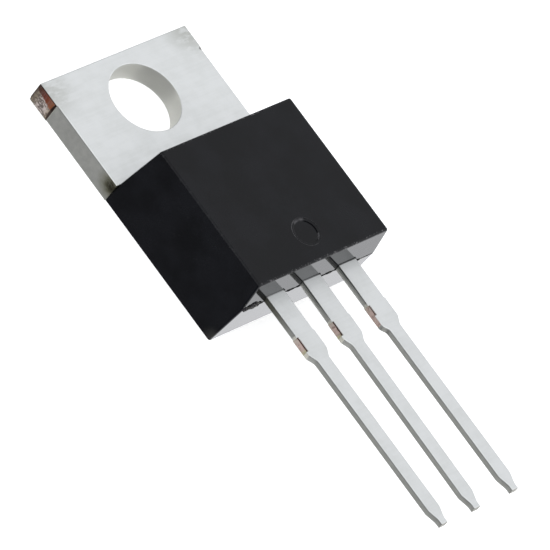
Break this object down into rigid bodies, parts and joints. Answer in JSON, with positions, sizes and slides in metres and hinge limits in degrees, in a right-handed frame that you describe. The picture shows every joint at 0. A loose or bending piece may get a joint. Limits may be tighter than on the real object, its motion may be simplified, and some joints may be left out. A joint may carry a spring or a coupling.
{
  "type": "dual rectifier diode",
  "caption": "Flat black moulded rectifier package with a drilled metal tab, which is its common cathode, and a row of straight tinned leads.",
  "frame": {"origin": "centre of the mounting hole on the metal back, which lies on Z = 0", "axes": "+Y from the hole to the tab's free end, with the leads towards -Y; +Z out of the plastic front; +X to the right when the front is seen with the tab up"},
  "size_m": [0.0102, 0.0289, 0.0046],
  "materials": {
    "tinned_copper": "satin tin plate over copper, bare copper where tie bars and dam bars were cut",
    "chip_solder": "soft solder",
    "silicon": "sawn silicon chip",
    "bond_wire": "drawn aluminium wire",
    "moulding_epoxy": "black moulded epoxy, fine satin"
  },
  "bodies": {
    "root": {"cathode_frame": "tinned_copper", "anode_lead_left": "tinned_copper", "anode_lead_right": "tinned_copper", "chip_solder_left": "chip_solder", "chip_solder_right": "chip_solder", "diode_chip_left": "silicon", "diode_chip_right": "silicon", "bond_wire_left_outer": "bond_wire", "bond_wire_left_inner": "bond_wire", "bond_wire_right_outer": "bond_wire", "bond_wire_right_inner": "bond_wire", "moulded_body": "moulding_epoxy"}
  },
  "joints": []
}
